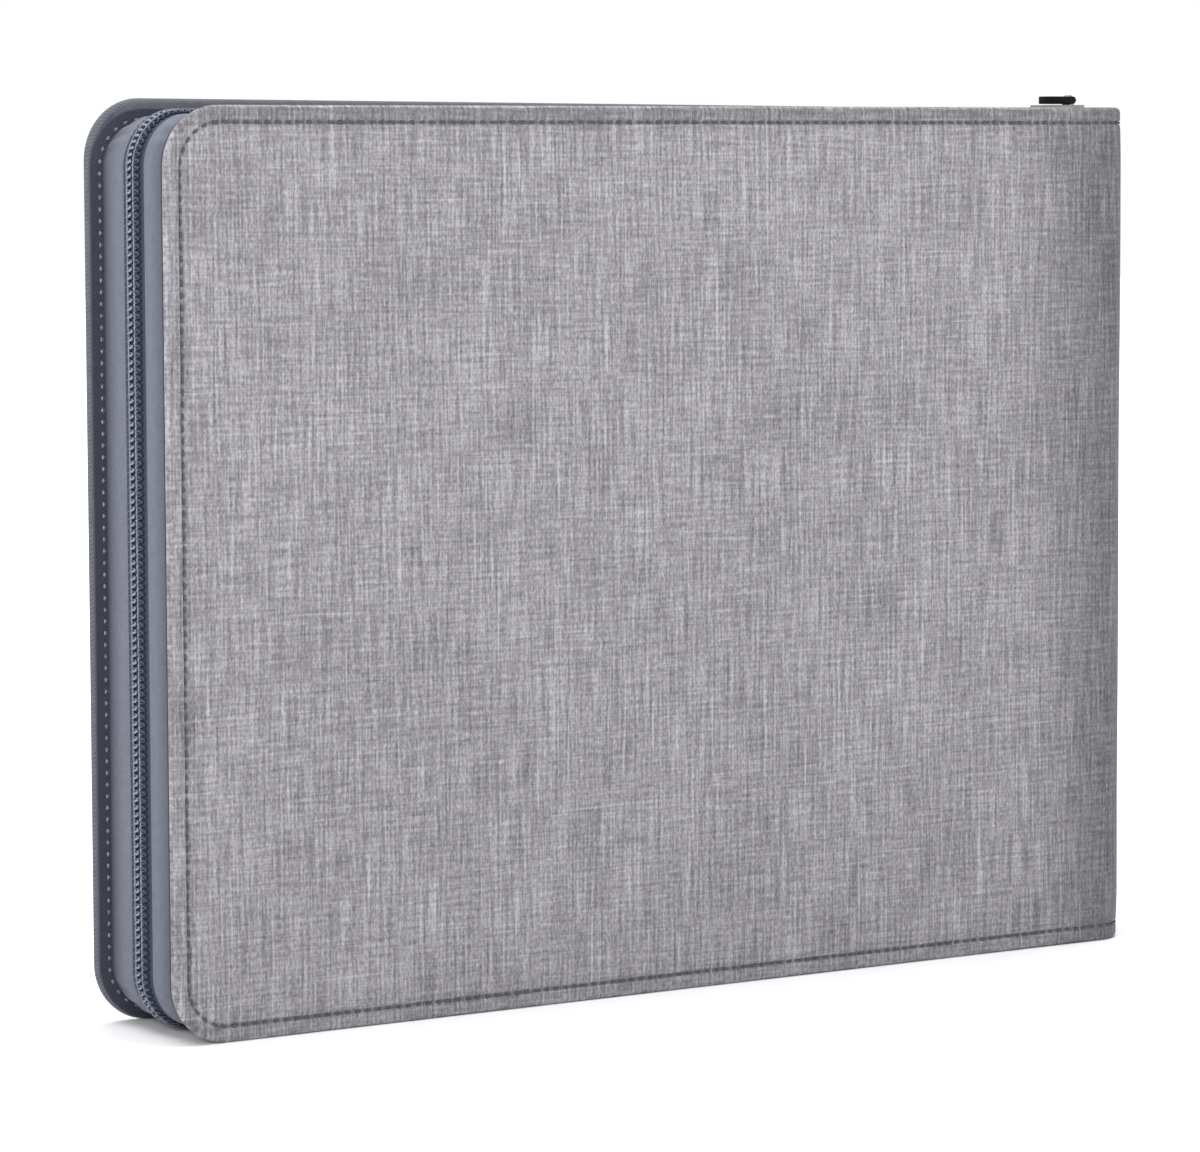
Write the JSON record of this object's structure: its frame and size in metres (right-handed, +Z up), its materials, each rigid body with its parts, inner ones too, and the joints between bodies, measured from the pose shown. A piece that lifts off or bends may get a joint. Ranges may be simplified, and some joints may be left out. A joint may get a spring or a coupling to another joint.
{
  "type": "trading card binder",
  "caption": "Zip-around binder for trading cards: two stiff padded fabric covers and a soft spine close on side-loading pocket pages with a coil zip round three sides.",
  "frame": {"origin": "middle of the footprint, on the surface the binder stands on", "axes": "+Z up along the spine, +X towards the spine, -Y towards the front cover"},
  "size_m": [0.317, 0.046, 0.2458],
  "materials": {
    "cover_fabric": "heathered linen-look weave",
    "lining_fabric": "plain weave",
    "foam": "matte",
    "board": "matte",
    "zip_tape": "twill tape",
    "zip_coil": "satin nylon",
    "zip_stop": "satin nylon",
    "slider_metal": "satin nickel",
    "pull_plastic": "satin black",
    "page_sheet": "matte",
    "pocket_film": "clear film"
  },
  "bodies": {
    "rear_cover": {"rear_cover_fabric": "cover_fabric", "rear_cover_foam": "foam", "rear_cover_board": "board", "rear_cover_lining": "lining_fabric", "rear_zip_tape": "zip_tape", "rear_zip_coil": "zip_coil", "rear_zip_stop": "zip_stop"},
    "spine": {"spine_fabric": "cover_fabric", "spine_board": "board", "spine_lining": "lining_fabric", "page_binding": "page_sheet", "rear_bend": "cover_fabric", "front_bend": "cover_fabric"},
    "front_cover": {"front_cover_fabric": "cover_fabric", "front_cover_foam": "foam", "front_cover_board": "board", "front_cover_lining": "lining_fabric", "front_zip_tape": "zip_tape", "front_zip_coil": "zip_coil", "front_zip_stop": "zip_stop"},
    "slider": {"slider_body": "slider_metal"},
    "pull": {"pull_tab": "pull_plastic"},
    "page_01": {"page_01_sheet": "page_sheet", "page_01_pockets": "pocket_film"},
    "page_02": {"page_02_sheet": "page_sheet", "page_02_pockets": "pocket_film"},
    "page_03": {"page_03_sheet": "page_sheet", "page_03_pockets": "pocket_film"},
    "page_04": {"page_04_sheet": "page_sheet", "page_04_pockets": "pocket_film"},
    "page_05": {"page_05_sheet": "page_sheet", "page_05_pockets": "pocket_film"},
    "page_06": {"page_06_sheet": "page_sheet", "page_06_pockets": "pocket_film"},
    "page_07": {"page_07_sheet": "page_sheet", "page_07_pockets": "pocket_film"},
    "page_08": {"page_08_sheet": "page_sheet", "page_08_pockets": "pocket_film"},
    "page_09": {"page_09_sheet": "page_sheet", "page_09_pockets": "pocket_film"},
    "page_10": {"page_10_sheet": "page_sheet", "page_10_pockets": "pocket_film"}
  },
  "joints": [
    {"name": "spine_hinge", "type": "hinge", "parent": "rear_cover", "child": "spine", "pos_m": [0.15678, 0.02128, 0], "axis": [0, 0, 1], "range_deg": [0, 90], "deforming": ["rear_bend"]},
    {"name": "front_cover_hinge", "type": "hinge", "parent": "spine", "child": "front_cover", "pos_m": [0.15678, -0.02128, 0], "axis": [0, 0, 1], "range_deg": [0, 90], "deforming": ["front_bend"]},
    {"name": "zip_slide", "type": "slide", "parent": "rear_cover", "child": "slider", "axis": [-1, 0, 0], "range_m": [0, 0.278]},
    {"name": "pull_hinge", "type": "hinge", "parent": "slider", "child": "pull", "pos_m": [0.152, 0, 0.2443], "axis": [0, 1, 0], "range_deg": [0, 170]},
    {"name": "page_01_hinge", "type": "hinge", "parent": "spine", "child": "page_01", "pos_m": [0.14845, -0.01305, 0], "axis": [0, 0, 1], "range_deg": [0, 75]},
    {"name": "page_02_hinge", "type": "hinge", "parent": "spine", "child": "page_02", "pos_m": [0.14845, -0.01015, 0], "axis": [0, 0, 1], "range_deg": [0, 75]},
    {"name": "page_03_hinge", "type": "hinge", "parent": "spine", "child": "page_03", "pos_m": [0.14845, -0.00725, 0], "axis": [0, 0, 1], "range_deg": [0, 75]},
    {"name": "page_04_hinge", "type": "hinge", "parent": "spine", "child": "page_04", "pos_m": [0.14845, -0.00435, 0], "axis": [0, 0, 1], "range_deg": [0, 75]},
    {"name": "page_05_hinge", "type": "hinge", "parent": "spine", "child": "page_05", "pos_m": [0.14845, -0.00145, 0], "axis": [0, 0, 1], "range_deg": [0, 75]},
    {"name": "page_06_hinge", "type": "hinge", "parent": "spine", "child": "page_06", "pos_m": [0.14845, 0.00145, 0], "axis": [0, 0, 1], "range_deg": [-75, 0]},
    {"name": "page_07_hinge", "type": "hinge", "parent": "spine", "child": "page_07", "pos_m": [0.14845, 0.00435, 0], "axis": [0, 0, 1], "range_deg": [-75, 0]},
    {"name": "page_08_hinge", "type": "hinge", "parent": "spine", "child": "page_08", "pos_m": [0.14845, 0.00725, 0], "axis": [0, 0, 1], "range_deg": [-75, 0]},
    {"name": "page_09_hinge", "type": "hinge", "parent": "spine", "child": "page_09", "pos_m": [0.14845, 0.01015, 0], "axis": [0, 0, 1], "range_deg": [-75, 0]},
    {"name": "page_10_hinge", "type": "hinge", "parent": "spine", "child": "page_10", "pos_m": [0.14845, 0.01305, 0], "axis": [0, 0, 1], "range_deg": [-75, 0]}
  ],
  "couplings": [
    {"joint": "front_cover_hinge", "follows": "spine_hinge", "ratio": 1},
    {"joint": "page_01_hinge", "follows": "spine_hinge", "ratio": 0.8},
    {"joint": "page_02_hinge", "follows": "spine_hinge", "ratio": 0.6222},
    {"joint": "page_03_hinge", "follows": "spine_hinge", "ratio": 0.4444},
    {"joint": "page_04_hinge", "follows": "spine_hinge", "ratio": 0.2667},
    {"joint": "page_05_hinge", "follows": "spine_hinge", "ratio": 0.0889},
    {"joint": "page_06_hinge", "follows": "spine_hinge", "ratio": -0.0889},
    {"joint": "page_07_hinge", "follows": "spine_hinge", "ratio": -0.2667},
    {"joint": "page_08_hinge", "follows": "spine_hinge", "ratio": -0.4444},
    {"joint": "page_09_hinge", "follows": "spine_hinge", "ratio": -0.6222},
    {"joint": "page_10_hinge", "follows": "spine_hinge", "ratio": -0.8}
  ]
}
